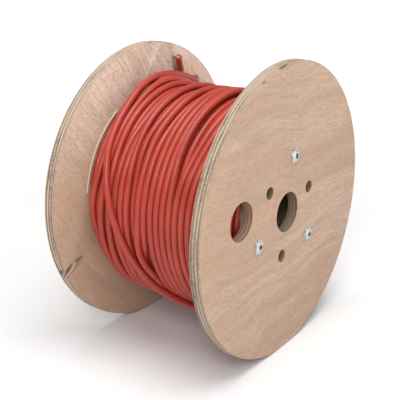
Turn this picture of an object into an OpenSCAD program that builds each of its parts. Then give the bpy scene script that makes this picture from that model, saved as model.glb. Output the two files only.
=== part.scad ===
// Plywood cable drum with a wound round cable.
// Frame: origin at the centre of the arbor bore, midway between the flanges. The axle lies
// along Y, the near flange is at -Y and the far flange at +Y, and +Z is up. Millimetres.

/* [Drum] */
// Outside diameter of both flanges
flange_d = 330; // [300:1:400]
// Thickness of a flange, seven plies
flange_t = 12; // [11:0.5:16]
// Clear width between the inner faces of the flanges
traverse = 178; // [140:1:220]
// Small chamfer that sanding leaves on a flange's rim
rim_chamfer = 0.6; // [0.2:0.1:1.5]
// How far the drum has rolled about its axle, from a tie bolt at the top
roll = -11; // [-180:1:180]

/* [Holes in the flanges] */
// Arbor bore in the middle of each flange
arbor_d = 45; // [30:0.5:60]
// Drive hole that a dog or a hand turns the drum by
drive_d = 42; // [30:0.5:46]
// Wood left between the drive hole and the barrel's tube
drive_room = 1; // [0.8:0.1:6]
// The three pin holes around the arbor bore
pin_d = 14; // [8:0.5:16]
// How far the circle of the pin holes lies inside the circle of the tie bolts
pin_in = 13; // [11:0.5:16]

/* [Barrel] */
// Outside diameter of the board tube
barrel_d = 142; // [116:1:144]
// Wall of the board tube
barrel_wall = 4; // [2.5:0.5:6]
// Depth of the ring groove that seats the tube in each flange
groove_depth = 4; // [2:0.5:6]
// Gap between the tube and its groove
groove_gap = 0.2; // [0.1:0.1:0.5]

/* [Tie bolts] */
// Thread diameter of a tie bolt
bolt_d = 6; // [5:0.5:8]
// Gap between a tee nut's sleeve and the inside of the barrel's tube
bolt_room = 0.6; // [0.4:0.1:4]
// Clearance on the bolt's diameter in the near flange
bolt_gap = 0.6; // [0.4:0.1:1.2]
// Head diameter of a tie bolt
head_d = 13; // [10:0.5:14]
// Head height of a tie bolt
head_h = 2.6; // [2.4:0.1:5]
// Outside diameter of the toothed washer
washer_d = 17; // [15:0.5:20]
// Thickness of the toothed washer
washer_t = 1; // [0.6:0.1:1.5]
// Outside diameter of the tee nut's plate
nut_plate_d = 20; // [18:0.5:24]
// Thickness of the tee nut's plate
nut_plate_t = 1.4; // [1:0.1:2]
// Wall of the tee nut's sleeve
nut_sleeve_wall = 0.9; // [0.7:0.1:1.2]
// Length of the tee nut's sleeve
nut_sleeve_l = 9; // [7:0.5:10]

/* [Cable] */
// Outside diameter of the cable
cable_d = 7.4; // [6:0.1:8]
// Distance between neighbouring turns
turn_pitch = 7.8; // [7.6:0.1:9]
// Layers of turns on the barrel
layers = 8; // [6:1:8]
// Share of each turn that crosses the ridges below it instead of lying in a valley
ridge_share = 0.35; // [0:0.05:0.5]
// Layers that end short of the far flange, at the top of the winding
short_layers = 2; // [1:1:3]
// Turns that each of those layers leaves out at the far flange
short_turns = 1; // [1:1:3]
// Insulated core
core_d = 2.6; // [2:0.1:2.8]
// Solid conductor
conductor_d = 1.4; // [1:0.1:1.8]
// Bare drain wire
drain_d = 0.9; // [0.5:0.1:1]
// Binding string beside the winding
string_d = 2.2; // [1.5:0.1:3]

/* [Cable holes in the far flange] */
// Drill used for the cable holes and the ramps
cable_hole_d = 12; // [11:0.5:13]
// Slope of the two ramps against the flange's face, in degrees
ramp_slope = 18; // [14:1:24]

/* [Hidden] */

$fn = 96;
cut = 1;                                   // how far a cutter runs past a face
near_y = -traverse / 2;                    // inner face of the near flange
far_y = traverse / 2;                      // inner face of the far flange
third = 120;                               // angle between bolts and between pin holes
bolt_angles = [for (k = [0:2]) 90 + roll + k * third];
pin_angles = [for (k = [0:2]) 30 + roll + k * third];
nut_sleeve_d = bolt_d + 2 * nut_sleeve_wall;
bolt_r = barrel_d / 2 - barrel_wall - nut_sleeve_d / 2 - bolt_room;
pin_r = bolt_r - pin_in;
drive_r = barrel_d / 2 + drive_d / 2 + drive_room;
drive_angle = 180 + roll;
far_drive_angle = drive_angle + third;     // the far flange is turned by one bolt
fit = 0.05;                                // gap of a close fit, on the radius

// Winding: turns nest in the valleys of the layer below, except where they cross its ridges
nested_rise = sqrt(cable_d * cable_d - turn_pitch * turn_pitch / 4);
layer_rise = nested_rise + ridge_share * (cable_d - nested_rise);
function layer_r(n) = barrel_d / 2 + cable_d / 2 + (n - 1) * layer_rise;
inner_layers = 5;                          // layers in the first of the two cable solids
split_r = layer_r(inner_layers) + layer_rise / 2;
flat_r = layer_r(layers);                  // middle of the turns in the top layer
full_layers = layers - short_layers;
wound_w = traverse - 1;                    // winding's width, half a millimetre off each flange
turns = floor(wound_w / turn_pitch);

// Tie bolts
head_seat_y = near_y - flange_t - washer_t;
nut_face_y = far_y + flange_t;
bolt_l = nut_face_y - head_seat_y + nut_plate_t;
recess_d = 7.6;
recess_w = 2.6;
recess_deep = 1.8;
teeth = 8;
tooth_deep = 1.6;
prongs = 4;
prong_l = 7;
prong_w = 3;
prong_t = 1.3;

// Cable holes: place on the inner face (x, z), and how the drill leans
tail_hole = [95, 104.6];
tail_hole_lean = [0.8, -0.6];              // drill leans this way as it goes outwards
tail_hole_angle = 42;                      // from square to the face
stub_hole = [60.6, 117.2];
stub_lean = [-0.43, 0.903];                // the stub and its ramp point this way
stub_hole_angle = 42;                      // from square to the face
stub_ramp_tip = 28;                        // from the hole to the ramp's shallow tip
rim_ramp_angle = -155.5;                   // angle of the ramp at the rim, about the axle
rim_ramp_tip_r = 134.5;                    // radius of its shallow tip

// Cable tail: the last part turn, across the winding and out through the far flange.
// On the winding: angle about the axle, place along the axle, lift off the top layer
tail_wound = [
    [-90, -70, 0], [-100, -56, 0], [-110, -39, 0], [-120, -21, 0], [-130, -6, 0],
    [-140, 5, 0], [-150, 13.5, 0], [-160, 21.5, 0], [-170, 30, 0], [-180, 38.5, 0],
    [-190, 46, 0], [-200, 52.5, 0], [-210, 57.5, 0], [-220, 61.5, 0], [-230, 64.5, 0],
    [-240, 66.5, 0], [-250, 68.5, 0], [-260, 71, 0], [-270, 74, 0], [-279, 77, 0],
    [-287, 79.5, 0.8], [-295, 81.5, 2.6], [-302, 83, 5.2]];
// Beyond the winding: x, y, z
tail_free = [
    [77.8, 83.4, 111.4], [84.8, 84.2, 109], [91.4, 86, 106], [97.2, 89.8, 102.8],
    [101.6, 94.8, 100], [104.4, 101, 98], [105.6, 107.5, 97], [104.4, 114, 97],
    [100.6, 119.6, 97.3], [94.6, 123.6, 98], [87.6, 125, 99], [80.6, 123.8, 100],
    [74, 120.2, 101.2], [68.6, 115, 102.8], [65.6, 108.8, 105], [64, 102.4, 107.4],
    [62.6, 96.6, 110.8], [61.8, 90.8, 115]];
stub_tip = [47.6, 80.4, 143.6];            // middle of the cut face
stub_from = [59.4, 85.2, 121.8];           // the straight end points from here to the tip
stub_l = 22;                               // straight end, where the cores are modelled
stub_dir = (stub_tip - stub_from) / norm(stub_tip - stub_from);
ride_r = flat_r + cable_d + 0.1;           // a cable that rides on the top layer
tube_sides = 12;
function on_winding(p) = [(ride_r + p[2]) * cos(p[0]), p[1], (ride_r + p[2]) * sin(p[0])];
tail_path = concat([for (p = tail_wound) on_winding(p)], tail_free, [stub_tip - stub_l * stub_dir]);

// ---- helpers ----

// Lays a shape that was drawn along Z along the axle, from y = 0 towards +Y
module along_axle() rotate([-90, 0, 0]) children();

// Puts a shape at radius r and angle a about the axle, and at y
module around_axle(r, a, y) translate([r * cos(a), y, r * sin(a)]) children();

// Straight drill through a flange, from y0, length l
module drill(d, r, a, y0, l) around_axle(r, a, y0) along_axle() cylinder(d = d, h = l);

// Lays a shape drawn along +Z along the vector v
module along(v) rotate([0, acos(v[2] / norm(v)), atan2(v[1], v[0])]) children();

// Direction that leans from +Y by the angle, towards lean in the x-z plane
function leaning(lean, angle) = let (u = lean / norm(lean))
    [u[0] * sin(angle), cos(angle), u[1] * sin(angle)];

// Leaning hole right through the far flange. p is its place (x, z) on the inner face
module leaning_hole(p, lean, angle) {
    v = leaning(lean, angle);
    reach = flange_t / cos(angle) + cable_hole_d;
    translate([p[0], far_y, p[1]] - v * cable_hole_d) along(v)
        cylinder(d = cable_hole_d, h = reach + cable_hole_d);
}

// Sloping groove in the far flange's inner face. tip is its shallow tip (x, z), and it
// deepens towards dir over the given length
module ramp(tip, dir, length) {
    u = dir / norm(dir);
    v = [u[0] * cos(ramp_slope), sin(ramp_slope), u[1] * cos(ramp_slope)];
    cross_l = cable_hole_d / 2 / sin(ramp_slope);
    middle = [tip[0] + u[0] * cross_l, far_y, tip[1] + u[1] * cross_l];
    translate(middle - v * cross_l) along(v)
        cylinder(d = cable_hole_d, h = length / cos(ramp_slope));
}

// ---- flanges ----

// Disc with a chamfered rim, its inner face at y = 0 and its outer face at y = flange_t
module disc() along_axle() rotate_extrude($fn = 180) polygon([
    [0, 0], [flange_d / 2 - rim_chamfer, 0], [flange_d / 2, rim_chamfer],
    [flange_d / 2, flange_t - rim_chamfer], [flange_d / 2 - rim_chamfer, flange_t],
    [0, flange_t]]);

// Holes that both flanges have, through the plate from y0 with the length l
module shared_holes(y0, l, drive_at) {
    drill(arbor_d, 0, 0, y0, l);
    drill(drive_d, drive_r, drive_at, y0, l);
    for (a = pin_angles) drill(pin_d, pin_r, a, y0, l);
}

// Ring groove that the board tube sits in, from y0 with the depth l
module tube_groove(y0, l) translate([0, y0, 0]) along_axle() difference() {
    cylinder(d = barrel_d + 2 * groove_gap, h = l);
    translate([0, 0, -cut]) cylinder(d = barrel_d - 2 * barrel_wall - 2 * groove_gap, h = l + 2 * cut);
}

module near_flange() color([0.80, 0.67, 0.56]) difference() {
    translate([0, near_y - flange_t, 0]) disc();
    shared_holes(near_y - flange_t - cut, flange_t + 2 * cut, drive_angle);
    for (a = bolt_angles) drill(bolt_d + bolt_gap, bolt_r, a, near_y - flange_t - cut, flange_t + 2 * cut);
    tube_groove(near_y - groove_depth - groove_gap, groove_depth + groove_gap + cut);
}

module far_flange() color([0.78, 0.65, 0.54]) difference() {
    translate([0, far_y, 0]) disc();
    shared_holes(far_y - cut, flange_t + 2 * cut, far_drive_angle);
    for (a = bolt_angles) {
        drill(nut_sleeve_d, bolt_r, a, far_y - cut, flange_t + 2 * cut);
        nut_prongs(a, fit);
    }
    tube_groove(far_y - cut, groove_depth + groove_gap + cut);
    leaning_hole(tail_hole, tail_hole_lean, tail_hole_angle);
    leaning_hole(stub_hole, -stub_lean, stub_hole_angle);
    ramp(stub_hole + stub_lean * stub_ramp_tip, -stub_lean, stub_ramp_tip);
    ramp(rim_ramp_tip_r * [cos(rim_ramp_angle), sin(rim_ramp_angle)],
         [cos(rim_ramp_angle), sin(rim_ramp_angle)], flange_d / 2 - rim_ramp_tip_r + cable_hole_d);
}

// ---- barrel ----

module barrel_tube() color([0.62, 0.50, 0.36])
    translate([0, near_y - groove_depth, 0]) along_axle() difference() {
        cylinder(d = barrel_d, h = traverse + 2 * groove_depth);
        translate([0, 0, -cut])
            cylinder(d = barrel_d - 2 * barrel_wall, h = traverse + 2 * groove_depth + 2 * cut);
    }

// ---- tie bolts ----

// Low pan head with a cross recess, its seat at z = 0 and its top at z = head_h
module pan_head() difference() {
    rotate_extrude() intersection() {
        translate([0, head_h - head_d]) circle(r = head_d);
        square([head_d / 2, head_h]);
    }
    for (a = [0, 90]) rotate(a) translate([-recess_d / 2, -recess_w / 2, head_h - recess_deep])
        cube([recess_d, recess_w, recess_deep + cut]);
    translate([0, 0, head_h - recess_deep - 0.4]) cylinder(d = 3.6, h = recess_deep + cut);
}

module tie_bolt(k) color([0.78, 0.79, 0.80]) around_axle(bolt_r, bolt_angles[k], head_seat_y) {
    rotate([90, 35 + 25 * k, 0]) pan_head();
    along_axle() cylinder(d = bolt_d, h = bolt_l);
}

module toothed_washer(k) color([0.74, 0.75, 0.76])
    around_axle(bolt_r, bolt_angles[k], head_seat_y) along_axle() difference() {
        cylinder(d = washer_d, h = washer_t);
        translate([0, 0, -cut]) cylinder(d = bolt_d + bolt_gap, h = washer_t + 2 * cut);
        for (j = [0:teeth - 1]) rotate((j + 0.4 * k) * 360 / teeth)
            translate([washer_d / 2 + 0.6, 0, -cut])
                cylinder(d = 2 * tooth_deep + 1.2, h = washer_t + 2 * cut);
    }

// Four prongs of the tee nut at the angle a, grown by g all round
module nut_prongs(a, g) around_axle(bolt_r, a, nut_face_y)
    for (j = [0:prongs - 1]) rotate([0, 45 + j * 360 / prongs, 0])
        translate([nut_plate_d / 2 - prong_t - 1 - g, -prong_l - g, -prong_w / 2 - g])
            cube([prong_t + 2 * g, prong_l + g, prong_w + 2 * g]);

module tee_nut(k) color([0.72, 0.73, 0.72]) difference() {
    union() {
        around_axle(bolt_r, bolt_angles[k], nut_face_y) along_axle()
            cylinder(d = nut_plate_d, h = nut_plate_t);
        around_axle(bolt_r, bolt_angles[k], nut_face_y - nut_sleeve_l) along_axle()
            cylinder(d = nut_sleeve_d - 2 * fit, h = nut_sleeve_l + nut_plate_t);
        nut_prongs(bolt_angles[k], 0);
    }
    around_axle(bolt_r, bolt_angles[k], nut_face_y - nut_sleeve_l - cut) along_axle()
        cylinder(d = bolt_d + 2 * fit, h = nut_sleeve_l + nut_plate_t + 2 * cut);
    for (j = [0:prongs - 1]) around_axle(bolt_r, bolt_angles[k], nut_face_y)
        rotate([0, j * 360 / prongs, 0]) translate([nut_plate_d / 2, -cut, 0])
            along_axle() cylinder(d = 4, h = nut_plate_t + 2 * cut);
}

// ---- cable ----

// Half section of a layer's row of turns, x = radius and y = along the axle
module turn_row(n, left_out) for (k = [left_out:turns - 1])
    translate([layer_r(n), -wound_w / 2 + (k + 0.5) * wound_w / turns]) circle(d = cable_d, $fn = 32);

// Plain band between two radii that stops a number of turns short of the far flange
module band(r0, r1, left_out) translate([r0, -wound_w / 2 + left_out * wound_w / turns])
    square([r1 - r0, wound_w - left_out * wound_w / turns]);

// Turns a half section about the axle. The section's -Y becomes the far flange's side, +Y
module wound() rotate([90, 0, 0]) rotate_extrude($fn = 180) children();

module cable_inner_layers() color([0.78, 0.30, 0.25]) wound()
    band(barrel_d / 2 + fit, split_r, 0);

module cable_outer_layers() color([0.80, 0.32, 0.26]) wound() difference() {
    union() {
        band(split_r, layer_r(full_layers), 0);
        turn_row(full_layers, 0);
        band(split_r, flat_r, short_layers * short_turns);
        turn_row(layers, short_layers * short_turns);
    }
    translate([0, -traverse]) square([split_r, 2 * traverse]);
}

// Closed tube swept along points, with rings square to the path
function unit(v) = v / norm(v);
function heading(p, i) = unit(p[min(i + 1, len(p) - 1)] - p[max(i - 1, 0)]);
function carried(u, t) = unit(u - (u * t) * t);
function sides_at(p, i, u) = i == 0 ? carried(u, heading(p, 0))
    : carried(sides_at(p, i - 1, u), heading(p, i));
function ring(c, t, u, r, n) = let (w = cross(t, u))
    [for (k = [0:n - 1]) c + r * cos(k * 360 / n) * u + r * sin(k * 360 / n) * w];

module swept_tube(p, d, n) {
    last = len(p) - 1;
    points = [for (i = [0:last]) each ring(p[i], heading(p, i), sides_at(p, i, [0, 1, 0]), d / 2, n)];
    walls = [for (i = [0:last - 1], k = [0:n - 1]) let (a = i * n + k, b = i * n + (k + 1) % n)
        each [[a, b, b + n], [a, b + n, a + n]]];
    caps = [[for (k = [n - 1:-1:0]) k], [for (k = [0:n - 1]) last * n + k]];
    polyhedron(points, concat([for (f = walls) [f[2], f[1], f[0]]],
                              [for (f = caps) [for (j = [len(f) - 1:-1:0]) f[j]]]));
}

module cable_tail() color([0.82, 0.33, 0.27]) swept_tube(tail_path, cable_d, tube_sides);

// Places a shape drawn along Z from the start of the straight end to the cut face
module at_stub() translate(stub_tip - stub_l * stub_dir) along(stub_dir) children();

core_off = core_d / 2 + 0.2;                // from the cable's middle to a core's middle
drain_off = 2.3;                            // and to the drain wire's

module cable_end_sheath() color([0.82, 0.33, 0.27]) at_stub() difference() {
    cylinder(d = cable_d, h = stub_l);
    for (s = [-1, 1]) translate([s * core_off, 0, -cut]) cylinder(d = core_d + 2 * fit, h = stub_l + 2 * cut);
    translate([0, drain_off, -cut]) cylinder(d = drain_d + 2 * fit, h = stub_l + 2 * cut);
}

module core(side) at_stub() translate([side * core_off, 0, 0]) difference() {
    cylinder(d = core_d, h = stub_l);
    translate([0, 0, -cut]) cylinder(d = conductor_d + 2 * fit, h = stub_l + 2 * cut);
}

module core_dark() color([0.10, 0.10, 0.11]) core(-1);
module core_light() color([0.88, 0.86, 0.82]) core(1);
module conductor_dark() color([0.80, 0.48, 0.30]) at_stub() translate([-core_off, 0, 0])
    cylinder(d = conductor_d, h = stub_l);
module conductor_light() color([0.80, 0.48, 0.30]) at_stub() translate([core_off, 0, 0])
    cylinder(d = conductor_d, h = stub_l);
module drain_wire() color([0.75, 0.74, 0.72]) at_stub() translate([0, drain_off, 0])
    cylinder(d = drain_d, h = stub_l);

// ---- binding string ----

string_from = 120;                          // angles about the axle, where the string shows
string_to = 172;
string_r = layer_r(full_layers) + cable_d / 2 + string_d / 2 + 0.4;

module binding_string() color([0.86, 0.80, 0.66])
    translate([0, far_y - string_d / 2 - 0.4, 0]) rotate([90, 0, 0]) rotate([0, 0, string_from])
        rotate_extrude(angle = string_to - string_from) translate([string_r, 0]) circle(d = string_d);

near_flange();
far_flange();
barrel_tube();
tie_bolt(0);  // tie_bolt_1
tie_bolt(1);  // tie_bolt_2
tie_bolt(2);  // tie_bolt_3
toothed_washer(0);  // toothed_washer_1
toothed_washer(1);  // toothed_washer_2
toothed_washer(2);  // toothed_washer_3
tee_nut(0);  // tee_nut_1
tee_nut(1);  // tee_nut_2
tee_nut(2);  // tee_nut_3
cable_inner_layers();
cable_outer_layers();
cable_tail();
cable_end_sheath();
core_dark();
core_light();
conductor_dark();
conductor_light();
drain_wire();
binding_string();
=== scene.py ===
# %% [markdown]
# # A plywood cable drum
# Two plywood flanges hold a board barrel between them, and about 101 metres of round red
# cable lie on the barrel in eight layers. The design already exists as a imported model, so
# this lesson loads it as a fixed frame and builds only what the eye needs around it: the
# separate turns of cable, the torn and sanded edges of the plywood, the string, and every
# finish. All lengths are in metres. The axle runs along Y, and the flange that faces the
# camera is on the side of -Y.

# %% Load the frame
import math
import bpy
import numpy as np
from mathutils import Matrix, Vector


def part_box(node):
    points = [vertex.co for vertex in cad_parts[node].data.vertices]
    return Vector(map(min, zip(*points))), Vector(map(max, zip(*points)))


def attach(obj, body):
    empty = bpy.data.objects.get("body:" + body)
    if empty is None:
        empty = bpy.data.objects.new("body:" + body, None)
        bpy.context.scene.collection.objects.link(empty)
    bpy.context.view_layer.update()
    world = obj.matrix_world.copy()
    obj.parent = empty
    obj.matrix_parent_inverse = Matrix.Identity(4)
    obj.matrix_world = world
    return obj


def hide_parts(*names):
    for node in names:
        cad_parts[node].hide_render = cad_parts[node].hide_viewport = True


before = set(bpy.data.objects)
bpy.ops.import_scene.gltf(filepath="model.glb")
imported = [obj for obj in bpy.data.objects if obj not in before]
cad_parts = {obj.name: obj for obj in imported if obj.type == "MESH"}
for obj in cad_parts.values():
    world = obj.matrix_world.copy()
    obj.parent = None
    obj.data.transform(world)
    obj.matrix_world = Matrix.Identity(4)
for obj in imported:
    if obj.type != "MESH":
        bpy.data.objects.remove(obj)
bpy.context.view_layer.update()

# %% [markdown]
# ## Sizes
# The sizes come from the frame where it has them. The near and far faces of the flanges,
# the rim's radius and the barrel's radius are read from the boxes of their nodes. What a
# box can't tell, such as a hole's diameter, is written here once.

# %% Read and write down the sizes
MM = 0.001
near_low, near_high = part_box("near_flange")
far_low, far_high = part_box("far_flange")
tube_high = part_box("barrel_tube")[1]
RIM_R = near_high.x
FLANGE_T = near_high.y - near_low.y
INNER_Y = far_low.y                       # inner faces are at -INNER_Y and +INNER_Y
OUTER_Y = far_high.y
BARREL_R = tube_high.x
BARREL_WALL = 4 * MM
ROLL = -11                                # how far the drum has rolled, in degrees
BORE_R, PIN_HOLE_R, DRIVE_HOLE_R = 22.5 * MM, 7 * MM, 21 * MM
BOLT_R, PIN_R, DRIVE_R = 62.5 * MM, 49.5 * MM, 93 * MM      # from the axle to the middles
BOLT_ANGLES = [90 + ROLL + 120 * k for k in range(3)]
PIN_ANGLES = [30 + ROLL + 120 * k for k in range(3)]
DRIVE_ANGLE = 180 + ROLL
FAR_DRIVE_ANGLE = DRIVE_ANGLE + 120       # the far flange is turned by one bolt
print(f"rim radius {RIM_R:.4f}, flange {FLANGE_T:.4f}, inner faces at {INNER_Y:.4f}")


def around(radius, degrees, y):
    """A point at that radius and angle about the axle."""
    a = math.radians(degrees)
    return Vector((radius * math.cos(a), y, radius * math.sin(a)))


# %% [markdown]
# ## Camera
# A long lens keeps the two flanges nearly parallel, as a catalogue view does. The camera
# looks at the middle of the bore from the left and a little above, and a small shift
# places the drum in the frame.

# %% Place the camera
CAMERA_AT = Vector((-0.78397, -0.54567, 0.34389))
camera_data = bpy.data.cameras.new("camera")
camera_data.sensor_width = 36
camera_data.lens = 79.5
camera_data.shift_x = -0.0277
camera_data.shift_y = -0.0148
camera = bpy.data.objects.new("camera", camera_data)
camera.location = CAMERA_AT
camera.rotation_euler = (-CAMERA_AT).to_track_quat("-Z", "Y").to_euler()
bpy.context.scene.collection.objects.link(camera)
bpy.context.scene.camera = camera
print("camera distance", round(CAMERA_AT.length, 3))

# %% [markdown]
# ## The winding, worked out as a stack of turns
# A wound cable isn't a perfect helix. Each layer lies in the grooves of the one below,
# and because neighbouring layers run opposite ways, every turn climbs over a ridge
# somewhere. To get those small bumps and gaps, the drum is cut at 96 stations around the
# axle. At each station every turn is a disc, and the discs are pulled inwards, pushed
# apart where they overlap, and kept smooth along the cable. That is a small simulation
# in numpy, and it takes a few seconds. Only the three outer layers can be seen, so the
# five inner ones stay as plain helices and carry them.

# %% The cable's sizes
CABLE_D = 7.4 * MM
TURN_PITCH = 7.8 * MM
WOUND_W = 2 * INNER_Y - 1 * MM
NESTED_RISE = math.sqrt(CABLE_D ** 2 - TURN_PITCH ** 2 / 4)
RIDGE_SHARE = 0.35                        # share of a turn that crosses the ridges below it
LAYER_RISE = NESTED_RISE + RIDGE_SHARE * (CABLE_D - NESTED_RISE)
LAYERS = 8
INNER_LAYERS = 5
FULL_LAYERS = 6                           # the layers above these stop short of the far flange
HOOPS = int(WOUND_W / TURN_PITCH)         # places for a turn's middle, from side to side
TURNS = HOOPS - 1                         # a helix from the first place to the last
LEFT_OUT = 2                              # turns that a short layer leaves out
STATIONS = 96
WINDING_END = -90                         # angle where the top layer ends, in degrees
SIDE = WOUND_W / 2 - CABLE_D / 2          # furthest place of a turn's middle along the axle


def layer_radius(layer):
    """Radius of the middle of the turns in a layer, where 1 lies on the barrel."""
    return BARREL_R + CABLE_D / 2 + (layer - 1) * LAYER_RISE


def layer_places(layer):
    """Place along the axle at each station of a layer, from its first turn to its last."""
    short = layer > FULL_LAYERS
    turns = TURNS - LEFT_OUT if short else TURNS
    far = SIDE - (LEFT_OUT * WOUND_W / HOOPS if short else 0)
    towards_near = (LAYERS - layer) % 2 == 0
    start, stop = (far, -SIDE) if towards_near else (-SIDE, far)
    return np.linspace(start, stop, turns * STATIONS, endpoint=False)


def slow_noise(rng, count, every):
    """Random values that change smoothly, with a new one each so many steps."""
    knots = rng.normal(size=count // every + 3)
    x = np.arange(count) / every
    i = x.astype(int)
    f = x - i
    f = f * f * (3 - 2 * f)
    return knots[i] * (1 - f) + knots[i + 1] * f


def bump(angle, low, high, soft):
    """1 between two angles in degrees, falling smoothly to 0 over the soft width."""
    up = np.clip((angle - low + soft) / soft, 0, 1)
    down = np.clip((high + soft - angle) / soft, 0, 1)
    return (up * up * (3 - 2 * up)) * (down * down * (3 - 2 * down))


print("turns in a full layer:", TURNS, "  top layer's radius:", round(layer_radius(LAYERS), 5))

# %% [markdown]
# The last part turn leaves the top layer at the bottom of the drum, crosses the winding
# towards the far flange, goes out through it, bends round outside and comes back in.
# These points repeat the design's route: first an angle in degrees and a place along the
# axle in millimetres, and then free points.

# %% The crossing strand and the laced end
CROSSING = [(-90, -70, 0), (-100, -56, 0), (-110, -39, 0), (-120, -21, 0), (-130, -6, 0),
            (-140, 5, 0), (-150, 13.5, 0), (-160, 21.5, 0), (-170, 30, 0), (-180, 38.5, 0),
            (-190, 46, 0), (-200, 52.5, 0), (-210, 57.5, 0), (-220, 61.5, 0), (-230, 64.5, 0),
            (-240, 66.5, 0), (-250, 68.5, 0), (-260, 71, 0), (-270, 74, 0), (-279, 77, 0),
            (-287, 79.5, 0.8), (-295, 81.5, 2.6), (-302, 83, 5.2)]
LACED = [(77.8, 83.4, 111.4), (84.8, 84.2, 109), (91.4, 86, 106), (97.2, 89.8, 102.8),
         (101.6, 94.8, 100), (104.4, 101, 98), (105.6, 107.5, 97), (104.4, 114, 97),
         (100.6, 119.6, 97.3), (94.6, 123.6, 98), (87.6, 125, 99), (80.6, 123.8, 100),
         (74, 120.2, 101.2), (68.6, 115, 102.8), (65.6, 108.8, 105), (64, 102.4, 107.4),
         (62.6, 96.6, 110.8), (61.8, 90.8, 115)]
STUB_TIP = Vector((47.6, 80.4, 143.6)) * MM
STUB_FROM = Vector((59.4, 85.2, 121.8)) * MM
STUB_L = 22 * MM
STUB_DIR = (STUB_TIP - STUB_FROM).normalized()
RIDE_R = layer_radius(LAYERS) + CABLE_D + 0.1 * MM

crossing_angle = np.array([p[0] for p in CROSSING], float)
crossing_y = np.array([p[1] for p in CROSSING]) * MM
crossing_lift = np.array([p[2] for p in CROSSING]) * MM
print("crossing spans", crossing_angle[0] - crossing_angle[-1], "degrees")

# %% Lay the turns of the outer layers
rng = np.random.default_rng(23)
inner_y = [layer_places(n) for n in range(1, INNER_LAYERS + 1)]
outer_y = [layer_places(n) for n in range(INNER_LAYERS + 1, LAYERS + 1)]
inner_r = [np.full(len(y), layer_radius(n + 1)) for n, y in enumerate(inner_y)]
outer_r = [np.full(len(y), layer_radius(n + INNER_LAYERS + 1)) for n, y in enumerate(outer_y)]
inner_path_y = np.concatenate(inner_y)
inner_path_r = np.concatenate(inner_r)
path_y = np.concatenate(outer_y)
path_r = np.concatenate(outer_r)
outer_turns = len(path_y) // STATIONS
step_deg = 360 / STATIONS
path_deg = WINDING_END - step_deg * np.arange(len(path_y))
wander = 2.9 * MM * slow_noise(rng, len(path_y), 29) + 2.2 * MM * slow_noise(rng, len(path_y), 67)
path_y = path_y + wander

# at the top of the drum the outer layers lean over towards the far flange
LEAN = 14 * MM
lean_share = np.clip(path_y / SIDE, 0, 1) ** 1.5 * bump(path_deg % 360, 40, 105, 45)
path_y = np.clip(path_y + LEAN * lean_share, -SIDE, SIDE)

# the top layer parts at the top of the drum, and the layer below shows in the gap: turns on
# the near side of the gap crowd towards the near flange, the others lean away from it
top_layer = len(path_y) - len(outer_y[-1])
GAP_Y = -35 * MM
CROWD, GIVE_WAY, GIVE_WAY_W = 16 * MM, 5 * MM, 30 * MM      # how far each side moves, and its reach
top_y = path_y[top_layer:]
top_deg = path_deg[top_layer:] % 360
parted = bump(top_deg, 98, 128, 26)
near_side = top_y < GAP_Y
crowd = -CROWD * np.clip((top_y + SIDE) / (GAP_Y + SIDE), 0, 1)
give_way = GIVE_WAY * np.exp(-np.clip(top_y - GAP_Y, 0, None) / GIVE_WAY_W)
path_y[top_layer:] = top_y + parted * np.where(near_side, crowd, give_way)

# the turns beside the gap ride a little proud, and so do those that reach up to the tail
RIDE, REACH, REACH_FROM_Y = 2.2 * MM, 3.4 * MM, 62 * MM
floor_r = np.zeros(len(path_y))
proud = RIDE * bump(top_deg, 86, 140, 30) * (np.abs(top_y - GAP_Y - 6 * MM) < 5 * MM)
reach = REACH * bump(top_deg, 62, 98, 26) * (path_y[top_layer:] > REACH_FROM_Y)
floor_r[top_layer:] = layer_radius(LAYERS) + proud + reach
floor_r[top_layer:] *= (proud + reach) > 0.3 * MM
for _ in range(6):
    floor_r[1:-1] = (floor_r[:-2] + 2 * floor_r[1:-1] + floor_r[2:]) / 4 * (floor_r[1:-1] > 0)

# the last sixth of the last turn climbs to where the crossing begins
climb = np.arange(len(path_y) - STATIONS // 6, len(path_y))
share = (np.arange(len(climb)) + 1) / (len(climb) + 1)
share = share * share * (3 - 2 * share)
path_y[climb] = -SIDE + share * (crossing_y[0] + SIDE)
path_r[climb] = layer_radius(LAYERS) + share * (RIDE_R - layer_radius(LAYERS))

tail_stations = int((crossing_angle[0] - crossing_angle[-1]) / step_deg) + 1
tail_deg = WINDING_END - step_deg * np.arange(tail_stations)
tail_y = np.interp(-tail_deg, -crossing_angle, crossing_y)
for _ in range(3):
    tail_y[1:-1] = (tail_y[:-2] + 2 * tail_y[1:-1] + tail_y[2:]) / 4
tail_lift = np.interp(-tail_deg, -crossing_angle, crossing_lift)
path_y = np.concatenate([path_y, tail_y])
path_r = np.concatenate([path_r, RIDE_R + tail_lift])
floor_r = np.concatenate([floor_r, np.zeros(tail_stations)])
print("outer turns:", outer_turns, " stations on the crossing:", tail_stations)


# %% Settle the turns
PULL_EARLY, PULL_LATE, LATE_FROM = 0.10 * MM, 0.03 * MM, 0.7
PUSH_SHARE, SMOOTH_SHARE, RETURN_SHARE = 0.36, 0.22, 0.004
HELD_END = 14                             # stations at the crossing's end that keep their place
ROUNDS = 320


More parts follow.
